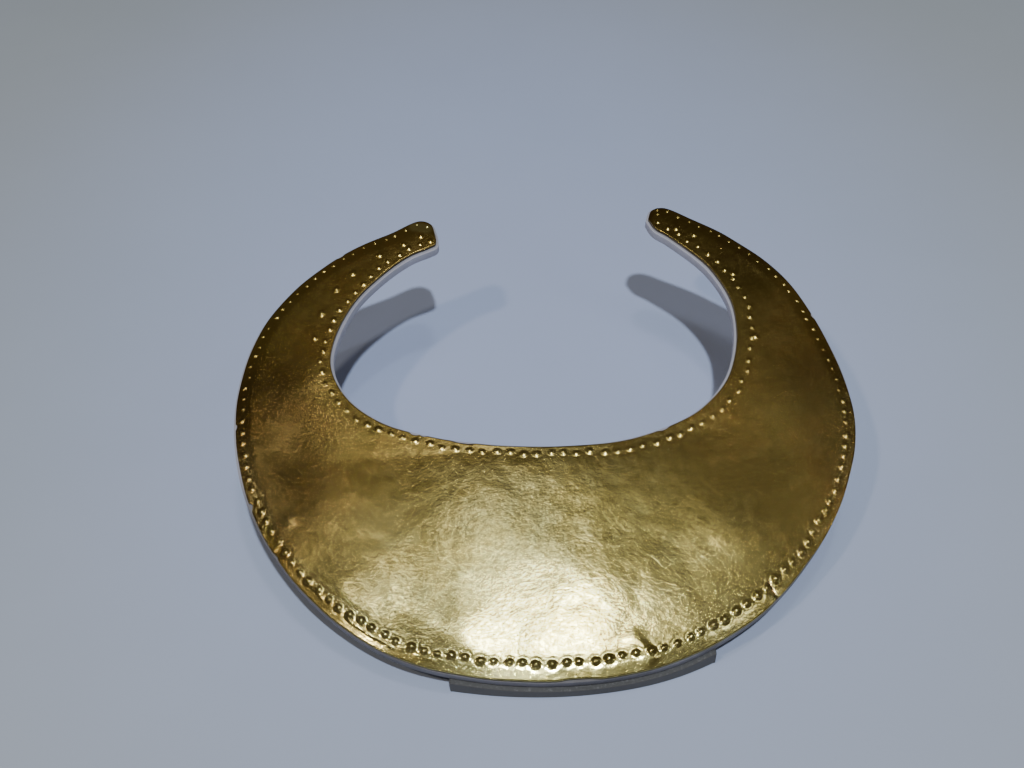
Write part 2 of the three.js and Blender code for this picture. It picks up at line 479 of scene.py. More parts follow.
class Sheet:
    """The gold sheet as one closed surface: fine along the edges, coarser between and below."""

    OUTER_STATIONS, INNER_STATIONS, MIDDLE_STATIONS, UNDER_STATIONS = 1440, 900, 440, 300
    OUTER_ROWS, INNER_ROWS, MIDDLE_ROWS, UNDER_ROWS = 26, 27, 42, 6
    OUTER_BAND, INNER_BAND = 8.6, 9.0  # widths of the finely divided bands, in millimetres

    def __init__(self):
        self.surface = Surface()

    def lines(self, stations, spread):
        """Rows of the upper face. spread gives each row's shares of the width from the width."""
        share, outer, inner = ribs(stations)
        width = np.linalg.norm(inner - outer, axis=1)
        rows = []
        for across in spread(width):
            flat = outer + (inner - outer) * across[:, None]
            high = sheet_top(flat, share, across * width, (1 - across) * width)
            rows.append(np.column_stack([flat, high]))
        return share, rows

    def bands(self, width):
        """Shares of the width taken by the two fine bands."""
        safe = np.maximum(width, 1e-6)
        outer = np.minimum(self.OUTER_BAND / safe, 0.46)
        inner = np.minimum(self.INNER_BAND / safe, 0.46)
        return outer, inner

    def outer_spread(self, width):
        """Shares of the width of the fine rows along the outer edge."""
        return [self.bands(width)[0] * k for k in np.linspace(0, 1, self.OUTER_ROWS + 1)]

    def inner_spread(self, width):
        """Shares of the width of the fine rows along the inner edge."""
        steps = np.linspace(1, 0, self.INNER_ROWS + 1)
        return [1 - self.bands(width)[1] * k for k in steps]

    def middle_spread(self, width):
        """Shares of the width of the rows between the two fine bands."""
        outer, inner = self.bands(width)
        steps = np.linspace(0, 1, self.MIDDLE_ROWS + 2)[1:-1]
        return [outer + (1 - inner - outer) * k for k in steps]

    def under_spread(self, width):
        """Shares of the width of the rows of the underside."""
        return [np.full_like(width, k) for k in np.linspace(0, 1, self.UNDER_ROWS + 1)]

    def lay(self, rows):
        """Adds rows of the upper face and returns their numbers."""
        ids = [self.surface.row(points, 1.0) for points in rows]
        for a, b in zip(ids, ids[1:]):
            self.surface.strip(a, b)
        return ids

    def rim(self, edge_row, points, share, under_row, under_share, outer):
        """Closes one edge, rounded over, from the upper face down to the underside."""
        last = edge_row
        for out, down in RIM_ROWS:
            moved = points.copy()
            away = (OUTER if outer else INNER).inward(share) * -out
            moved[1:-1, :2] += away[1:-1]
            moved[:, 2] -= down
            ids = self.surface.row(moved, 0.0)
            self.join(ids, share, last, share, outer)
            last = ids
        self.join(under_row, under_share, last, share, outer)

    def join(self, lower, lower_share, upper, upper_share, outer):
        """Faces between a lower and an upper row, facing away from the sheet."""
        if outer:
            self.surface.zip(lower, lower_share, upper, upper_share)
        else:
            self.surface.zip(upper, upper_share, lower, lower_share)

    def build(self, material):
        """The closed sheet as an object, with the attribute that says what faces up."""
        fine, fine_rows = self.lines(self.OUTER_STATIONS, self.outer_spread)
        mid, mid_rows = self.lines(self.MIDDLE_STATIONS, self.middle_spread)
        near, near_rows = self.lines(self.INNER_STATIONS, self.inner_spread)
        under, under_rows = self.lines(self.UNDER_STATIONS, self.under_spread)
        fine_ids, mid_ids, near_ids = self.lay(fine_rows), self.lay(mid_rows), self.lay(near_rows)
        self.surface.zip(fine_ids[-1], fine, mid_ids[0], mid)
        self.surface.zip(mid_ids[-1], mid, near_ids[0], near)
        under_ids = []
        for points in under_rows:
            lowered = points - np.array([0, 0, SHEET_THICKNESS])
            under_ids.append(self.surface.row(lowered, 0.0))
        for a, b in zip(under_ids, under_ids[1:]):
            self.surface.strip(b, a)
        self.rim(fine_ids[0], fine_rows[0], fine, under_ids[0], under, True)
        self.rim(near_ids[-1], near_rows[-1], near, under_ids[-1], under, False)
        return self.surface.object("gold_collar_sheet", "faces_up", material)


# Node trees


class Nodes:
    """Adds nodes to a tree and links them."""

    def __init__(self, tree):
        self.tree = tree

    def add(self, kind, inputs=(), **settings):
        """A node with these settings, its inputs fed by position or name."""
        made = self.tree.nodes.new(kind)
        for name, value in settings.items():
            setattr(made, name, value)
        for name, value in dict(inputs).items():
            self.feed(made.inputs[name], value)
        return made

    def feed(self, socket, value):
        """Links a socket to another one, or sets its value."""
        if isinstance(value, bpy.types.NodeSocket):
            self.tree.links.new(value, socket)
        else:
            socket.default_value = value

    def math(self, operation, *values, clamp=False):
        """The output of a Math node."""
        fed = dict(enumerate(values))
        return self.add("ShaderNodeMath", fed, operation=operation, use_clamp=clamp).outputs[0]

    def vector(self, operation, *values, output=0):
        """An output of a Vector Math node."""
        fed = dict(enumerate(values))
        return self.add("ShaderNodeVectorMath", fed, operation=operation).outputs[output]

    def scale(self, vector, factor):
        """A vector made longer or shorter by a factor."""
        fed = {0: vector, "Scale": factor}
        return self.add("ShaderNodeVectorMath", fed, operation="SCALE").outputs[0]

    def axis(self, vector, name):
        """One of a vector's coordinates."""
        return self.add("ShaderNodeSeparateXYZ", {0: vector}).outputs[name]

    def noise(self, vector, scale, detail, roughness=0.5):
        """A value and a colour of soft noise."""
        fed = {"Vector": vector, "Scale": scale, "Detail": detail, "Roughness": roughness}
        return self.add("ShaderNodeTexNoise", fed).outputs

    def mix(self, factor, a, b):
        """A value between a and b."""
        return self.add("ShaderNodeMix", {0: factor, 2: a, 3: b}, data_type="FLOAT").outputs[0]

    def remap(self, value, low, high):
        """A smooth step of value between low and high."""
        fed = {0: value, 1: low, 2: high}
        made = self.add("ShaderNodeMapRange", fed, interpolation_type="SMOOTHSTEP")
        return made.outputs[0]

    def blend(self, factor, a, b):
        """The colour output of a Mix node."""
        fed = {0: factor, 6: a, 7: b}
        return self.add("ShaderNodeMix", fed, data_type="RGBA").outputs[2]


def new_group(name, kind, inputs, outputs):
    """An empty node group with these sockets, and its Nodes, group input and group output."""
    tree = bpy.data.node_groups.new(name, kind)
    for label, socket, default in inputs:
        made = tree.interface.new_socket(label, in_out="INPUT", socket_type=socket)
        if default is not None:
            made.default_value = default
    for label, socket in outputs:
        tree.interface.new_socket(label, in_out="OUTPUT", socket_type=socket)
    nodes = Nodes(tree)
    return tree, nodes, nodes.add("NodeGroupInput"), nodes.add("NodeGroupOutput")


VALUE, COLOR, VECTOR = "NodeSocketFloat", "NodeSocketColor", "NodeSocketVector"
WHITE, BLACK = (1.0, 1.0, 1.0, 1.0), (0.0, 0.0, 0.0, 1.0)


def tone_patches_group():
    """Cloudy patches of two tones, large ones broken up by small ones."""
    inputs = [("Vector", VECTOR, None), ("Size", VALUE, 20.0), ("Breakup", VALUE, 0.5),
              ("Light", COLOR, None), ("Dark", COLOR, None)]
    tree, n, given, out = new_group(
        "Tone patches", "ShaderNodeTree", inputs, [("Color", COLOR), ("Mask", VALUE)])
    g = given.outputs
    large = n.noise(g["Vector"], g["Size"], 4.0, 0.62)[0]
    small = n.noise(g["Vector"], n.math("MULTIPLY", g["Size"], 7.5), 5.0, 0.7)[0]
    mixed = n.math("MULTIPLY_ADD", n.math("SUBTRACT", small, 0.5), g["Breakup"], large)
    mask = n.remap(mixed, 0.36, 0.66)
    n.feed(out.inputs["Mask"], mask)
    n.feed(out.inputs["Color"], n.blend(mask, g["Light"], g["Dark"]))
    return tree


def scratches_group():
    """Short fine scratches that run in several directions, as a mask from 0 to 1."""
    inputs = [("Vector", VECTOR, None), ("Density", VALUE, 150.0), ("Width", VALUE, 0.06)]
    tree, n, given, out = new_group(
        "Fine scratches", "ShaderNodeTree", inputs, [("Mask", VALUE)])
    total = None
    for turn, stretch in ((0.12, 9.0), (-0.35, 12.0), (0.75, 8.0), (-1.2, 11.0), (1.45, 7.0)):
        turned_to = n.add("ShaderNodeMapping", {
            "Vector": given.outputs["Vector"], "Rotation": (0, 0, turn),
            "Scale": (1.0, stretch, 0.0), "Location": (turn, stretch, 0)})
        cells = n.add("ShaderNodeTexVoronoi", {
            "Vector": turned_to.outputs[0], "Scale": given.outputs["Density"],
            "Randomness": 1.0}, voronoi_dimensions="2D")
        line = n.remap(cells.outputs["Distance"], given.outputs["Width"], 0.0)
        total = line if total is None else n.math("MAXIMUM", total, line)
    n.feed(out.inputs["Mask"], total)
    return tree


def hammer_marks_group():
    """The soft shallow facets that a small hammer leaves, as a height from 0 to 1."""
    inputs = [("Vector", VECTOR, None), ("Size", VALUE, 120.0)]
    tree, n, given, out = new_group(
        "Hammer marks", "ShaderNodeTree", inputs, [("Height", VALUE)])
    g = given.outputs
    drift = n.noise(g["Vector"], g["Size"], 2.0)["Color"]
    moved = n.vector("MULTIPLY_ADD", drift, (0.004, 0.004, 0.004), g["Vector"])
    cells = n.add("ShaderNodeTexVoronoi", {
        "Vector": moved, "Scale": g["Size"], "Smoothness": 0.55}, feature="SMOOTH_F1")
    n.feed(out.inputs["Height"], cells.outputs["Distance"])
    return tree


def line_mark_group():
    """A soft-edged line seen from above, as a mask from 0 to 1."""
    inputs = [("Vector", VECTOR, None), ("Start", VECTOR, None), ("End", VECTOR, None),
              ("Half Width", VALUE, 0.001)]
    tree, n, given, out = new_group("Line mark", "ShaderNodeTree", inputs, [("Mask", VALUE)])
    g = given.outputs
    from_above = (1.0, 1.0, 0.0)
    run = n.vector("MULTIPLY", n.vector("SUBTRACT", g["End"], g["Start"]), from_above)
    away = n.vector("MULTIPLY", n.vector("SUBTRACT", g["Vector"], g["Start"]), from_above)
    share = n.math("DIVIDE", n.vector("DOT_PRODUCT", away, run, output="Value"),
                   n.vector("DOT_PRODUCT", run, run, output="Value"), clamp=True)
    off = n.vector("DISTANCE", away, n.scale(run, share), output="Value")
    n.feed(out.inputs["Mask"], n.remap(off, g["Half Width"],
                                       n.math("MULTIPLY", g["Half Width"], 0.4)))
    return tree


def dust_group():
    """Dust that settles on faces turned up, as a mask from 0 to 1."""
    inputs = [("Vector", VECTOR, None), ("Amount", VALUE, 0.5)]
    tree, n, given, out = new_group("Dust", "ShaderNodeTree", inputs, [("Mask", VALUE)])
    specks = n.noise(given.outputs["Vector"], 900.0, 3.0, 0.8)[0]
    normal = n.add("ShaderNodeNewGeometry").outputs["Normal"]
    up = n.remap(n.axis(normal, "Z"), 0.2, 0.95)
    settled = n.math("MULTIPLY", up, n.remap(specks, 0.52, 0.72))
    n.feed(out.inputs["Mask"], n.math("MULTIPLY", settled, given.outputs["Amount"]))
    return tree


def shared_groups():
    """The shader groups that several materials use, each built once."""
    builders = {"Tone patches": tone_patches_group, "Fine scratches": scratches_group,
                "Hammer marks": hammer_marks_group, "Line mark": line_mark_group,
                "Dust": dust_group}
    return {name: bpy.data.node_groups.get(name) or build() for name, build in builders.items()}


def new_material(name):
    """A material with its Nodes, Principled shader and Object coordinates."""
    material = bpy.data.materials.new(name)
    material.use_nodes = True
    nodes = Nodes(material.node_tree)
    shader = material.node_tree.nodes["Principled BSDF"]
    place = nodes.add("ShaderNodeTexCoord").outputs["Object"]
    return material, nodes, shader, place


def use_group(nodes, name, inputs):
    """A shared group placed in a material."""
    made = nodes.add("ShaderNodeGroup", node_tree=shared_groups()[name])
    for label, value in inputs.items():
        nodes.feed(made.inputs[label], value)
    return made


def rgba(color):
    """A colour property as four numbers."""
    return (*color, 1.0)


# Geometry Nodes: rows of bosses


def boss_tree():
    """Raises bosses on a sheet along two paths and at stray points."""
    inputs = [
        ("Sheet", "NodeSocketGeometry", None), ("Outer Path", "NodeSocketObject", None),
        ("Inner Path", "NodeSocketObject", None), ("Strays", "NodeSocketObject", None),
        ("Outer Count", "NodeSocketInt", 121), ("Inner Count", "NodeSocketInt", 72),
        ("Belly Radius", VALUE, 0.0015), ("Horn Radius", VALUE, 0.001),
        ("Belly Rise", VALUE, 0.7), ("Horn Rise", VALUE, 0.4),
        ("Trough", VALUE, 0.15), ("Unevenness", VALUE, 0.0005),
        ("Belly End", VALUE, 0.0), ("Horn End", VALUE, 0.08),
        ("Up", VECTOR, (0.0, 0.0, 1.0)), ("Seed", "NodeSocketInt", 7),
        ("Gold", "NodeSocketMaterial", None),
    ]
    tree, n, given, out = new_group(
        "Boss rows", "GeometryNodeTree", inputs, [("Sheet", "NodeSocketGeometry")])
    g = given.outputs
    place = n.add("GeometryNodeInputPosition").outputs[0]
    towards_horn = n.remap(n.axis(place, "Y"), g["Belly End"], g["Horn End"])
    mean_radius = n.mix(towards_horn, g["Belly Radius"], g["Horn Radius"])
    smallest, largest = BOSS_SPREAD
    joined = n.add("GeometryNodeJoinGeometry")
    seed = g["Seed"]
    for path, count in (("Inner Path", "Inner Count"), ("Outer Path", "Outer Count")):
        line = n.add("GeometryNodeObjectInfo", {"Object": g[path]})
        points = n.add("GeometryNodeCurveToPoints", {
            "Curve": line.outputs["Geometry"], "Count": g[count]}, mode="COUNT")
        slack = n.scale((1.0, 1.0, 0.0), g["Unevenness"])
        seed = n.math("ADD", seed, 1.0)
        shift = n.add("FunctionNodeRandomValue", {
            "Min": n.scale(slack, -1.0), "Max": slack, "Seed": seed}, data_type="FLOAT_VECTOR")
        moved = n.add("GeometryNodeSetPosition", {
            "Geometry": points.outputs["Points"], "Offset": shift.outputs[0]})
        swell = n.add("FunctionNodeRandomValue", {2: smallest, 3: largest, "Seed": seed},
                      data_type="FLOAT").outputs[1]
        sized = n.add("GeometryNodeStoreNamedAttribute", {
            "Geometry": moved.outputs[0], "Name": "boss_size",
            "Value": n.math("MULTIPLY", mean_radius, swell)})
        n.tree.links.new(sized.outputs[0], joined.inputs[0])
    loose = n.add("GeometryNodeObjectInfo", {"Object": g["Strays"]})
    strays = n.add("GeometryNodeMeshToPoints", {"Mesh": loose.outputs["Geometry"]})
    n.tree.links.new(strays.outputs[0], joined.inputs[0])
    centres = joined.outputs[0]
    nearest = n.add("GeometryNodeSampleNearest", {"Geometry": centres}).outputs[0]
    centre = n.add("GeometryNodeSampleIndex", {
        "Geometry": centres, "Index": nearest}, data_type="FLOAT_VECTOR")
    n.feed(centre.inputs["Value"], place)
    named = n.add("GeometryNodeInputNamedAttribute", {"Name": "boss_size"}, data_type="FLOAT")
    radius = n.add("GeometryNodeSampleIndex", {
        "Geometry": centres, "Index": nearest, "Value": named.outputs[0]}, data_type="FLOAT")
    away = n.vector("SUBTRACT", place, centre.outputs[0])
    upward = n.vector("DOT_PRODUCT", away, g["Up"], output="Value")
    level = n.vector("SUBTRACT", away, n.scale(g["Up"], upward))
    flat = n.vector("LENGTH", level, output="Value")
    reach = n.math("DIVIDE", flat, radius.outputs[0])
    inside = n.math("MAXIMUM", n.math("SUBTRACT", 1.0, n.math("POWER", reach, 2.0)), 0.0)
    dome = n.math("POWER", inside, DOME_POWER)
    ring_off = n.math("DIVIDE", n.math("SUBTRACT", reach, RING_REACH), RING_WIDTH)
    ring_square = n.math("POWER", n.math("ABSOLUTE", ring_off), 2.0)
    ring = n.math("EXPONENT", n.math("MULTIPLY", ring_square, -1.0))
    ring = n.math("MULTIPLY", ring, n.math("SUBTRACT", 1.0, towards_horn))
    up_mask = n.add("GeometryNodeInputNamedAttribute", {"Name": "faces_up"},
                    data_type="FLOAT").outputs[0]
    raised = n.math("MULTIPLY", dome, n.mix(towards_horn, g["Belly Rise"], g["Horn Rise"]))
    sunk = n.math("MULTIPLY", ring, g["Trough"])
    tall = n.math("MULTIPLY", n.math("SUBTRACT", raised, sunk), radius.outputs[0])
    push = n.scale(g["Up"], n.math("MULTIPLY", tall, up_mask))
    marked = n.add("GeometryNodeStoreNamedAttribute", {
        "Geometry": g["Sheet"], "Name": "boss", "Value": n.math("MULTIPLY", dome, up_mask)})
    shaped = n.add("GeometryNodeSetPosition", {"Geometry": marked.outputs[0], "Offset": push})
    real = n.add("GeometryNodeRealizeInstances", {0: shaped.outputs[0]})
    painted = n.add("GeometryNodeSetMaterial", {"Geometry": real.outputs[0],
                                                "Material": g["Gold"]})
    n.feed(out.inputs[0], painted.outputs[0])
    return tree


def run_tree(piece, tree, values):
    """Runs a Geometry Nodes tree on a piece with named values, and keeps the result."""
    modifier = piece.modifiers.new(tree.name, "NODES")
    modifier.node_group = tree
    for item in tree.interface.items_tree:
        if item.item_type == "SOCKET" and item.in_out == "INPUT" and item.name in values:
            modifier[item.identifier] = values[item.name]
    return plain_mesh(piece)


def path_object(name, edge, insets):
    """A helper curve along an edge, set in from it by the given distances."""
    share = np.linspace(ROW_START, 1 - ROW_START, PATH_POINTS)
    known, depth = zip(*insets)
    inset = np.interp(share, known, depth)
    flat = edge.at(share) + edge.inward(share) * inset[:, None]
    high = np.full(len(share), PATH_HEIGHT)
    curve = bpy.data.curves.new(name, "CURVE")
    curve.dimensions = "3D"
    line = curve.splines.new("POLY")
    line.points.add(len(share) - 1)
    places = to_row(np.column_stack([flat, high]))
    line.points.foreach_set("co", np.column_stack([places, np.ones(len(places))]).ravel())
    helper = bpy.data.objects.new(name, curve)
    bpy.context.scene.collection.objects.link(helper)
    return helper


def stray_object(name):
    """A helper mesh of loose points, one for each bigger boss, with its radius."""
    spots = np.array(STRAY_BOSSES)
    places = to_row(np.column_stack([spots[:, :2], np.full(len(spots), PATH_HEIGHT)]))
    mesh = bpy.data.meshes.new(name)
    mesh.from_pydata(places.tolist(), [], [])
    sizes = mesh.attributes.new("boss_size", "FLOAT", "POINT")
    sizes.data.foreach_set("value", spots[:, 2] * MM)
    helper = bpy.data.objects.new(name, mesh)
    bpy.context.scene.collection.objects.link(helper)
    return helper


# Gold


def line_mark(nodes, place, start, end, half_width):
    """The mask of a line between two points of the collar plane, in millimetres."""
    from_point, to_point = to_row([[*start, BOARD_THICKNESS], [*end, BOARD_THICKNESS]]).tolist()
    return use_group(nodes, "Line mark", {
        "Vector": place, "Start": from_point, "End": to_point,
        "Half Width": half_width * MM}).outputs["Mask"]


def horn_mask(n, place):
    """0 on the belly, rising to 1 out on the horns."""
    from_belly = n.vector("MULTIPLY", n.vector("ADD", place, (0.0, 0.085, 0.0)), (9.5, 10.5, 0.0))
    return n.remap(n.vector("LENGTH", from_belly, output="Value"), 0.45, 1.05)


def gold_tones(n, place, horns, finish):
    """Pale and warm gold on the belly, old and russet on the horns, stained in clouds."""
    broad = use_group(n, "Tone patches", {
        "Vector": place, "Size": 17.0, "Breakup": 0.5,
        "Light": rgba(finish.light), "Dark": rgba(finish.warm)})
    tarnish = use_group(n, "Tone patches", {
        "Vector": n.vector("ADD", place, (0.31, 0.12, 0.0)), "Size": 38.0, "Breakup": 0.35,
        "Light": WHITE, "Dark": BLACK}).outputs["Mask"]
    aged = n.blend(n.math("MULTIPLY", broad.outputs["Mask"], 0.7), rgba(finish.old),
                   rgba(finish.russet))
    plain = n.blend(horns, broad.outputs["Color"], aged)
    ragged = n.math("MULTIPLY_ADD", tarnish, 0.008, n.axis(place, "Y"))
    smoked = n.math("MULTIPLY", n.remap(n.axis(place, "X"), 0.0, 0.03),
                    n.remap(ragged, 0.05, 0.06))
    darkened = n.blend(n.math("MULTIPLY", smoked, 0.75), plain, rgba(finish.smoke_and_shade))
    stained = n.math("MULTIPLY", n.math("MULTIPLY_ADD", horns, 0.45, 0.2), tarnish)
    return n.blend(stained, darkened, rgba(finish.stain_and_shade))


def fleck_mask(n, place, horns, strength):
    """Fine dark flecks all over, a little fainter on the horns."""
    flecks = use_group(n, "Tone patches", {
        "Vector": n.vector("MULTIPLY", place, (0.75, 1.2, 1.0)), "Size": 620.0, "Breakup": 0.9,
        "Light": WHITE, "Dark": BLACK}).outputs["Mask"]
    return n.math("MULTIPLY", flecks, n.math("MULTIPLY_ADD", horns, -0.15 * strength, strength))


def flank_shade_mask(n):
    """Painted shade on the bosses' flanks, where they mirror dark surroundings, left off their
    tops.
    """
    boss = n.add("ShaderNodeAttribute", attribute_name="boss").outputs["Fac"]
    flank = n.math("MULTIPLY", boss, n.math("SUBTRACT", 1.0, n.remap(boss, 0.72, 0.97)))
    return n.math("MULTIPLY", n.math("MAXIMUM", flank, 0.0), 1.6, clamp=True)


def scratch_mask(n, place):
    """Fine scratches, most of them towards the belly's front, and the long single ones."""
    old = use_group(n, "Fine scratches", {
        "Vector": place, "Density": 170.0, "Width": 0.055}).outputs["Mask"]
    fresh = use_group(n, "Fine scratches", {
        "Vector": n.vector("MULTIPLY", place, (1.7, 1.7, 1.0)), "Density": 240.0,
        "Width": 0.09}).outputs["Mask"]
    towards_front = n.math("MULTIPLY_ADD", n.remap(n.axis(place, "Y"), 0.03, -0.03), 0.7, 0.3)
    marks = n.math("MULTIPLY", n.math("MAXIMUM", old, n.math("MULTIPLY", fresh, 0.6)), towards_front)
    for start, end in SCRATCHES:
        marks = n.math("MAXIMUM", marks, line_mark(n, place, start, end, SCRATCH_WIDTH))
    return marks


def gold_relief(n, place, marks, finish):
    """Height of the finest hammer marks, mottling and scratches."""
    facets = use_group(n, "Hammer marks", {"Vector": place, "Size": 210.0}).outputs["Height"]
    cloud = n.noise(n.vector("MULTIPLY", place, (0.8, 1.15, 1.0)), 850.0, 2.5, 0.55)[0]
    high = n.math("MULTIPLY", facets, finish.hammering)
    high = n.math("MULTIPLY_ADD", cloud, finish.mottling, high)
    return n.math("MULTIPLY_ADD", marks, -finish.scratching, high)


def gold_material(finish):
    """Hammered, scratched sheet gold with darker cloudy patches, painted shade round the bosses and
    marks of colour.
    """
    material, n, shader, place = new_material("hammered_gold")
    horns = horn_mask(n, place)
    flecks = fleck_mask(n, place, horns, finish.flecks)
    painted_shade = flank_shade_mask(n)
    marks = scratch_mask(n, place)
    toned = n.blend(flecks, gold_tones(n, place, horns, finish), rgba(finish.stain_and_shade))
    # painted shade: the bosses' flanks are darkened towards the stain colour
    color = n.blend(n.math("MULTIPLY", painted_shade, finish.painted_shade), toned, rgba(finish.stain_and_shade))
    for start, end, half_width, strength, tone in PATCHES:
        patch = line_mark(n, place, start, end, half_width)
        color = n.blend(n.math("MULTIPLY", patch, strength), color, rgba(getattr(finish, tone)))
    n.feed(shader.inputs["Base Color"],
           n.blend(n.math("MULTIPLY", marks, 0.35), color, rgba(finish.light)))
    shader.inputs["Metallic"].default_value = 1.0
    mottle = n.noise(place, 420.0, 4.0, 0.65)[0]
    rough = n.math("MULTIPLY_ADD", mottle, 0.1, finish.roughness - 0.05)
    for mask, rougher in ((horns, 0.05), (marks, 0.08), (flecks, 0.08), (painted_shade, 0.06)):
        rough = n.math("MULTIPLY_ADD", mask, rougher, rough)
    n.feed(shader.inputs["Roughness"], rough)
    relief = gold_relief(n, place, marks, finish)
    bump = n.add("ShaderNodeBump", {"Strength": 1.0, "Distance": 0.001, "Height": relief})
    n.feed(shader.inputs["Normal"], bump.outputs[0])
    return material


class GoldSettings(bpy.types.PropertyGroup):
    """Sizes and finish of the gold collar."""

    outer_bosses: bpy.props.IntProperty(
        name="Outer bosses", description="Bosses along the outer edge", default=121, min=2)
    inner_bosses: bpy.props.IntProperty(
        name="Inner bosses", description="Bosses along the inner edge", default=72, min=2)
    belly_radius: bpy.props.FloatProperty(
        name="Belly boss radius", description="Radius of the bosses at the belly's front",
        default=1.5 * MM, unit="LENGTH")
    horn_radius: bpy.props.FloatProperty(
        name="Horn boss radius", description="Radius of the bosses on the horns",
        default=1.05 * MM, unit="LENGTH")
    belly_rise: bpy.props.FloatProperty(
        name="Belly boss rise", description="Height of a belly boss as a share of its radius",
        default=0.56, subtype="FACTOR")
    horn_rise: bpy.props.FloatProperty(
        name="Horn boss rise", description="Height of a horn boss as a share of its radius",
        default=0.34, subtype="FACTOR")
    trough: bpy.props.FloatProperty(
        name="Trough", description="Depth of the ring round a boss as a share of its radius",
        default=0.05, subtype="FACTOR")
    unevenness: bpy.props.FloatProperty(
        name="Unevenness", description="How far a boss may stray from its row",
        default=0.5 * MM, unit="LENGTH")
    seed: bpy.props.IntProperty(name="Seed", description="Seed of the bosses' strays", default=11)
    light: bpy.props.FloatVectorProperty(
        name="Pale gold", description="The belly's pale gold", subtype="COLOR",
        default=(0.77, 0.71, 0.29))
    warm: bpy.props.FloatVectorProperty(
        name="Warm gold", description="The warmer patches", subtype="COLOR",
        default=(0.67, 0.575, 0.19))
    old: bpy.props.FloatVectorProperty(
        name="Old gold", description="The horns' deeper gold", subtype="COLOR",
        default=(0.53, 0.37, 0.11))
    # the stain colour also serves for the painted shade on the bosses' flanks
    stain_and_shade: bpy.props.FloatVectorProperty(
        name="Stain", description="Tarnish and grime", subtype="COLOR",
        default=(0.31, 0.235, 0.06))
    russet: bpy.props.FloatVectorProperty(
        name="Russet", description="The redder patches of the horns", subtype="COLOR",
        default=(0.47, 0.26, 0.06))
    # the brown-black of the right horn's end, also the colour of the painted shade in the crack and
    # down the belly's sides
    smoke_and_shade: bpy.props.FloatVectorProperty(
        name="Smoke", description="The brown-black end of the right horn", subtype="COLOR",
        default=(0.12, 0.07, 0.025))
    flecks: bpy.props.FloatProperty(
        name="Flecks", description="Strength of the fine dark flecks", default=0.62,
        subtype="FACTOR")
    # strength of the painted shade on the bosses' flanks
    painted_shade: bpy.props.FloatProperty(
        name="Grime", description="Grime on the bosses' flanks", default=0.55, subtype="FACTOR")
    roughness: bpy.props.FloatProperty(
        name="Roughness", description="Mean roughness of the gold", default=0.12,
        subtype="FACTOR")
    hammering: bpy.props.FloatProperty(
        name="Hammering", description="Depth of the hammer's fine facets", default=0.03)
    mottling: bpy.props.FloatProperty(
        name="Mottling", description="Depth of the fine unevenness", default=0.034)
    scratching: bpy.props.FloatProperty(
        name="Scratching", description="Depth of the scratches", default=0.03)


class COLLAR_OT_gold(bpy.types.Operator):
    """Builds the hammered gold sheet and raises its two rows of bosses"""

    bl_idname = "collar.gold"
    bl_label = "Gold collar"

    def execute(self, context):
        size = context.scene.collar_gold
        gold = gold_material(size)
        sheet = Sheet().build(gold)
        helpers = [
            path_object("outer_row_path", OUTER, OUTER_INSETS),
            path_object("inner_row_path", INNER, INNER_INSETS),
            stray_object("stray_boss_points"),
        ]
        belly_end, horn_end = sheet_ends()
        run_tree(sheet, boss_tree(), {
            "Outer Path": helpers[0], "Inner Path": helpers[1], "Strays": helpers[2],
            "Outer Count": size.outer_bosses, "Inner Count": size.inner_bosses,
            "Belly Radius": size.belly_radius, "Horn Radius": size.horn_radius,
            "Belly Rise": size.belly_rise, "Horn Rise": size.horn_rise,
            "Trough": size.trough, "Unevenness": size.unevenness,
            "Belly End": belly_end, "Horn End": horn_end,
            "Up": (0.0, -math.sin(TILT), math.cos(TILT)), "Seed": size.seed, "Gold": gold,
        })
        for helper in helpers:
            bpy.data.objects.remove(helper)
        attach(sheet, "root")
        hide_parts("gold_collar")
        return {"FINISHED"}


def sheet_ends():
    """The row frame's Y where bosses start and stop shrinking towards the horns."""
    low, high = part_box("gold_collar")
    depth = high.y - low.y
    return low.y + SHRINK_FROM * depth, low.y + SHRINK_TO * depth


# Board


def grown_loop(border, stations, tucked=0.0):
    """The crescent's outline as a closed loop, grown by the border, less at the belly's front."""
    share = eased(stations)
    loop = np.concatenate([OUTER.at(share)[:-1], INNER.at(share)[::-1][:-1]])
    along = np.roll(loop, -1, axis=0) - np.roll(loop, 1, axis=0)
    along /= np.linalg.norm(along, axis=1, keepdims=True)
    front = span(share, *FRONT_SPAN)
    grown = border - tucked * np.concatenate([front[:-1], np.zeros(stations)])
    return loop + grown[:, None] * np.column_stack([along[:, 1], -along[:, 0]])


def board_mesh(material):
    """The board: the crescent grown by its border, with softly rounded edges."""
    stations, rungs, soft, steps = 420, 6, 0.28, 4
    rings = []
    for quarter, base, turn in ((0, soft, -1), (1, BOARD_THICKNESS - soft, 1)):
        for step in range(steps + 1):
            angle = math.radians(90 * (step / steps if quarter else 1 - step / steps))
            rings.append((BOARD_BORDER - soft * (1 - math.cos(angle)),
                          base + turn * soft * math.sin(angle)))
    points, faces = [], []
    count = 2 * stations
    for border, height in rings:
        loop = grown_loop(border, stations, FRONT_TUCK)
        points += np.column_stack([loop, np.full(count, height)]).tolist()
    for ring in range(len(rings) - 1):
        for i in range(count):
            j = (i + 1) % count
            low, high = ring * count, (ring + 1) * count
            faces.append((low + i, low + j, high + j, high + i))
    for ring, down in ((0, True), (len(rings) - 1, False)):
        faces += cap(points, ring * count, stations, rungs, down)
    return mesh_object("backing_board_painted", points, faces, material)


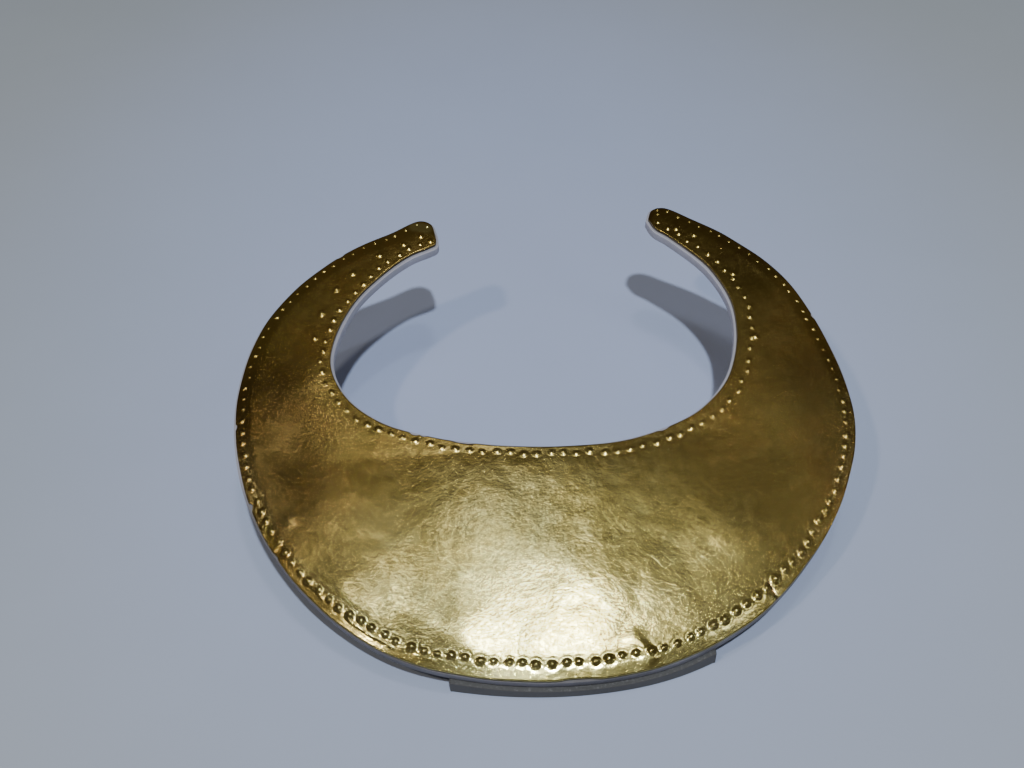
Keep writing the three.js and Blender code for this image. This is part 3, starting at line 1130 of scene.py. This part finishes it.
def cap(points, start, stations, rungs, down):
    """Faces that close a loop of the crescent, rib by rib. Adds the points they need."""
    height = points[start][2]
    count = 2 * stations
    rows = []
    for station in range(stations + 1):
        outer = start + station
        inner = start + (count - station) % count
        a, b = np.array(points[outer]), np.array(points[inner])
        row = [outer]
        for rung in range(1, rungs):
            row.append(len(points))
            points.append([*(a + (b - a) * rung / rungs)[:2], height])
        rows.append(row + [inner])
    made = []
    for here, ahead in zip(rows, rows[1:]):
        for k in range(rungs):
            face = (here[k], ahead[k], ahead[k + 1], here[k + 1])
            made.append(face[::-1] if down else face)
    return made


DUST_COLOR = (0.62, 0.62, 0.64, 1.0)
# colour of the painted shade along the board's front rim
FRONT_SHADE_COLOR = (0.07, 0.06, 0.058, 1.0)


def shade(paint, factor):
    """A lighter or darker shade of a paint."""
    return rgba([min(1.0, c * factor) for c in paint])


def paint_material(name, paint, wear, dusting, front_shade=0.0):
    """Matt paint with faint clouding, a fine stipple, scuffs, dust, painted shade on faces turned
    up and painted shade along the front.
    """
    material, n, shader, place = new_material(name)
    cloud = use_group(n, "Tone patches", {
        "Vector": place, "Size": 22.0, "Breakup": 0.6, "Light": rgba(paint),
        "Dark": shade(paint, 0.86)})
    scuffs = use_group(n, "Fine scratches", {
        "Vector": place, "Density": 90.0, "Width": 0.04}).outputs["Mask"]
    scuffed = n.blend(n.math("MULTIPLY", scuffs, wear), cloud.outputs["Color"],
                      shade(paint, 1.3))
    dust = use_group(n, "Dust", {"Vector": place, "Amount": dusting}).outputs["Mask"]
    normal = n.add("ShaderNodeNewGeometry").outputs["Normal"]
    # painted shade: faces turned up are darkened, so the lit top of the board's border shows no
    # paler than its cut edge
    top = n.remap(n.axis(normal, "Z"), 0.5, 0.9)
    top_shaded = n.blend(n.math("MULTIPLY", top, 0.55), scuffed, shade(paint, 0.25))
    dusty = n.blend(dust, top_shaded, DUST_COLOR)
    # painted shade: the board's front rim is darkened, as it faces a little down under the gold's
    # margin
    front = n.remap(n.axis(place, "Y"), -0.005, -0.03)
    towards_front = n.math("MULTIPLY", n.math("MULTIPLY_ADD", cloud.outputs["Mask"], 0.15, 0.85), front)
    n.feed(shader.inputs["Base Color"],
           n.blend(n.math("MULTIPLY", towards_front, front_shade), dusty, FRONT_SHADE_COLOR))
    stipple = n.noise(place, 1400.0, 3.0, 0.6)[0]
    n.feed(shader.inputs["Roughness"], n.math("MULTIPLY_ADD", stipple, 0.2, 0.5))
    bump = n.add("ShaderNodeBump", {"Strength": 0.5, "Distance": 0.0002, "Height": stipple})
    n.feed(shader.inputs["Normal"], bump.outputs[0])
    return material


class BoardSettings(bpy.types.PropertyGroup):
    """Finish of the board and the foot."""

    board_paint: bpy.props.FloatVectorProperty(
        name="Board paint", description="Pale lilac-grey paint of the board", subtype="COLOR",
        default=(0.56, 0.54, 0.61))
    foot_paint: bpy.props.FloatVectorProperty(
        name="Foot paint", description="Dark grey paint of the foot", subtype="COLOR",
        default=(0.085, 0.08, 0.078))
    wear: bpy.props.FloatProperty(
        name="Scuffs", description="Strength of the scuffs", default=0.25, subtype="FACTOR")
    dust: bpy.props.FloatProperty(
        name="Dust", description="Amount of dust", default=0.12, subtype="FACTOR")
    # how dark the painted shade along the board's front rim is
    painted_shade: bpy.props.FloatProperty(
        name="Front grime", description="How dark the board's front rim has become", default=0.85,
        subtype="FACTOR")


class COLLAR_OT_board(bpy.types.Operator):
    """Builds the painted crescent board"""

    bl_idname = "collar.board"
    bl_label = "Backing board"

    def execute(self, context):
        finish = context.scene.collar_board
        board = board_mesh(paint_material("board_paint", finish.board_paint, finish.wear,
                                          finish.dust, finish.painted_shade))
        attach(board, "root")
        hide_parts("backing_board")
        return {"FINISHED"}


# Foot


def foot_mesh(material):
    """The foot: an upright block with the belly's curved front, cut off along the board."""
    stations = 900
    front = grown_loop(BOARD_BORDER + FOOT_PROUD, stations)[:stations]
    cos, sin = math.cos(TILT), math.sin(TILT)
    chosen = (front[:, 0] > FOOT_LEFT) & (front[:, 0] < FOOT_RIGHT) & (front[:, 1] < FOOT_DEPTH)
    line = front[chosen][::2]
    line[:, 1] *= cos
    ends = [[FOOT_RIGHT, line[-1, 1]], [FOOT_RIGHT, FOOT_DEPTH], [FOOT_LEFT, FOOT_DEPTH],
            [FOOT_LEFT, line[0, 1]]]
    outline = np.concatenate([line, ends]) * MM + np.array(row_origin())
    y0 = row_origin()[1]
    gap = REST_GAP * MM
    slope_y = (outline[:, 1] - y0 - gap * sin) / cos
    top = FOOT_HEIGHT * MM + slope_y * sin - gap * cos
    count = len(outline)
    points = np.concatenate([np.column_stack([outline, np.zeros(count)]),
                             np.column_stack([outline, top])])
    faces = [tuple(range(count))[::-1], tuple(range(count, 2 * count))]
    faces += [(i, (i + 1) % count, count + (i + 1) % count, count + i) for i in range(count)]
    foot = mesh_object("mount_foot_painted", points, faces, material, tilted=False)
    bevel = foot.modifiers.new("Soft edges", "BEVEL")
    bevel.width = 0.35 * MM
    bevel.segments = 3
    bevel.limit_method = "ANGLE"
    bevel.angle_limit = math.radians(35)
    bevel.harden_normals = True
    for face in foot.data.polygons:
        face.use_smooth = False
    return plain_mesh(foot)


class COLLAR_OT_foot(bpy.types.Operator):
    """Builds the painted foot under the board"""

    bl_idname = "collar.foot"
    bl_label = "Foot"

    def execute(self, context):
        finish = context.scene.collar_board
        foot = foot_mesh(paint_material("foot_paint", finish.foot_paint, finish.wear,
                                        finish.dust))
        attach(foot, "root")
        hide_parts("mount_foot")
        return {"FINISHED"}


# Stage

CAMERA_PLACE = (-0.0325, -0.2877, 0.3340)
CAMERA_RIGHT = (0.9957, -0.0909, -0.0195)
CAMERA_UP = (0.0775, 0.6953, 0.7146)
LIGHTS_AIM = (0, -0.05, 0)
COOL, COOL_WHITE, WARM = (0.82, 0.91, 1.0), (0.93, 0.96, 1.0), (1.0, 0.9, 0.72)
WORLD_COLOR = (1.0, 0.88, 0.68, 1.0)
FLOOR_HALF = 3.0


class StageSettings(bpy.types.PropertyGroup):
    """The floor, the lights and the camera."""

    floor_near: bpy.props.FloatVectorProperty(
        name="Near floor", description="The plain pale floor in front", subtype="COLOR",
        default=(0.36, 0.385, 0.42))
    # the far colour is the painted pool of cool light behind the collar
    floor_far: bpy.props.FloatVectorProperty(
        name="Far floor", description="The plain pale floor at the back", subtype="COLOR",
        default=(0.395, 0.45, 0.63))
    lens: bpy.props.FloatProperty(
        name="Lens", description="Focal length on a 36 mm sensor", default=41.63)
    key: bpy.props.FloatProperty(
        name="Key light", description="Power of the main lamp", default=27.0)
    fill: bpy.props.FloatProperty(
        name="Side light", description="Power of the side lamp", default=5.2)
    glow: bpy.props.FloatProperty(
        name="Ceiling glow", description="Power of the wide panel overhead", default=0.85)
    lamp: bpy.props.FloatProperty(
        name="Lamp", description="Power of the small lamp that the belly mirrors", default=1.7)
    world: bpy.props.FloatProperty(
        name="Surroundings", description="Strength of the even, slightly warm surroundings",
        default=0.08)


def area_light(name, place, target, size, power, color):
    """An elliptical soft light at a place, turned towards a target. Its size is (across, along)."""
    data = bpy.data.lights.new(name, "AREA")
    data.shape = "ELLIPSE"
    data.size, data.size_y = size
    data.energy = power
    data.color = color
    light = bpy.data.objects.new(name, data)
    aim = Vector(target) - Vector(place)
    light.location = place
    light.rotation_euler = aim.to_track_quat("-Z", "Y").to_euler()
    bpy.context.scene.collection.objects.link(light)
    return light


def make_camera(lens):
    """The camera: high in front of the belly, a little to the left and slightly rolled."""
    data = bpy.data.cameras.new("camera")
    data.lens = lens
    data.sensor_width = 36.0
    data.clip_start = 0.01
    camera = bpy.data.objects.new("camera", data)
    right = Vector(CAMERA_RIGHT)
    back = right.cross(Vector(CAMERA_UP)).normalized()
    turn = Matrix((right, back.cross(right).normalized(), back)).transposed().to_4x4()
    camera.matrix_world = Matrix.Translation(CAMERA_PLACE) @ turn
    bpy.context.scene.collection.objects.link(camera)
    bpy.context.scene.camera = camera


def make_floor(near, far):
    """A wide plain floor with very faint clouding, and a painted pool of cool light: bluer and
    brighter round a point behind the collar.
    """
    mesh = bpy.data.meshes.new("floor")
    half = FLOOR_HALF
    corners = [(-half, -half, 0), (half, -half, 0), (half, half, 0), (-half, half, 0)]
    mesh.from_pydata(corners, [], [(0, 1, 2, 3)])
    floor = bpy.data.objects.new("floor", mesh)
    bpy.context.scene.collection.objects.link(floor)
    material, n, shader, place = new_material("floor_paint")
    from_back = n.vector("MULTIPLY", n.vector("ADD", place, (0.0, -0.13, 0.0)), (1.0, 0.7, 0.0))
    # painted light: a bluer, brighter pool round a point behind the collar
    lit_pool = n.remap(n.vector("LENGTH", from_back, output="Value"), 0.32, 0.06)
    toned = n.blend(lit_pool, rgba(near), rgba(far))
    cloud = use_group(n, "Tone patches", {
        "Vector": place, "Size": 3.0, "Breakup": 0.3, "Light": toned,
        "Dark": n.blend(0.03, toned, BLACK)})
    n.feed(shader.inputs["Base Color"], cloud.outputs["Color"])
    shader.inputs["Roughness"].default_value = 0.7
    mesh.materials.append(material)


def make_world(strength):
    """Even, slightly warm surroundings."""
    world = bpy.data.worlds.new("surroundings")
    world.use_nodes = True
    background = world.node_tree.nodes["Background"]
    background.inputs["Color"].default_value = WORLD_COLOR
    background.inputs["Strength"].default_value = strength
    bpy.context.scene.world = world


class COLLAR_OT_stage(bpy.types.Operator):
    """Sets up the camera, the lights and the floor"""

    bl_idname = "collar.stage"
    bl_label = "Stage"

    def execute(self, context):
        stage = context.scene.collar_stage
        make_camera(stage.lens)
        make_floor(stage.floor_near, stage.floor_far)
        make_world(stage.world)
        for name, place, size, power, color in (
            ("key", (0.08, -0.74, 1.70), (0.07, 0.07), stage.key, COOL),
            ("side", (-0.75, -0.55, 1.45), (0.1, 0.1), stage.fill, WARM),
            ("right lamp", (0.85, -0.62, 1.50), (0.3, 0.3), stage.fill * 0.15, COOL_WHITE),
            ("panel", (0.13, 0.0, 1.50), (0.80, 0.22), stage.glow, COOL_WHITE),
            ("lamp", (0.11, 0.01, 1.49), (0.08, 0.15), stage.lamp, COOL_WHITE),
            ("left lamp", (-0.21, 0.115, 1.49), (0.11, 0.10), stage.lamp * 0.14, COOL_WHITE),
            ("left glint", (-0.055, 0.03, 1.49), (0.08, 0.05), stage.lamp * 0.06, COOL_WHITE),
        ):
            area_light(name, place, LIGHTS_AIM, size, power, color)
        return {"FINISHED"}


# Panel and registration


class COLLAR_PT_parts(bpy.types.Panel):
    """The collar's parts and their settings"""

    bl_label = "Gold crescent collar"
    bl_idname = "COLLAR_PT_parts"
    bl_space_type = "VIEW_3D"
    bl_region_type = "UI"
    bl_category = "Collar"

    def draw(self, context):
        for settings, operators in PANEL_ROWS:
            box = self.layout.box()
            group = getattr(context.scene, settings)
            for name in group.__annotations__:
                box.prop(group, name)
            for operator in operators:
                box.operator(operator)


PANEL_ROWS = (
    ("collar_stage", ("collar.stage",)),
    ("collar_board", ("collar.board", "collar.foot")),
    ("collar_gold", ("collar.gold",)),
)
SETTINGS = {
    "collar_gold": GoldSettings,
    "collar_board": BoardSettings,
    "collar_stage": StageSettings,
}
CLASSES = (
    GoldSettings, BoardSettings, StageSettings, COLLAR_OT_gold, COLLAR_OT_board,
    COLLAR_OT_foot, COLLAR_OT_stage, COLLAR_PT_parts,
)


def register():
    """Registers the classes and hangs the settings on the scene."""
    for cls in CLASSES:
        bpy.utils.register_class(cls)
    for name, group in SETTINGS.items():
        setattr(bpy.types.Scene, name, bpy.props.PointerProperty(type=group))


def unregister():
    """Takes the settings off the scene and unregisters the classes."""
    for name in SETTINGS:
        delattr(bpy.types.Scene, name)
    for cls in reversed(CLASSES):
        bpy.utils.unregister_class(cls)


def main():
    register()
    bpy.ops.collar.stage()
    bpy.ops.collar.foot()
    bpy.ops.collar.board()
    bpy.ops.collar.gold()


if __name__ == "__main__":
    main()
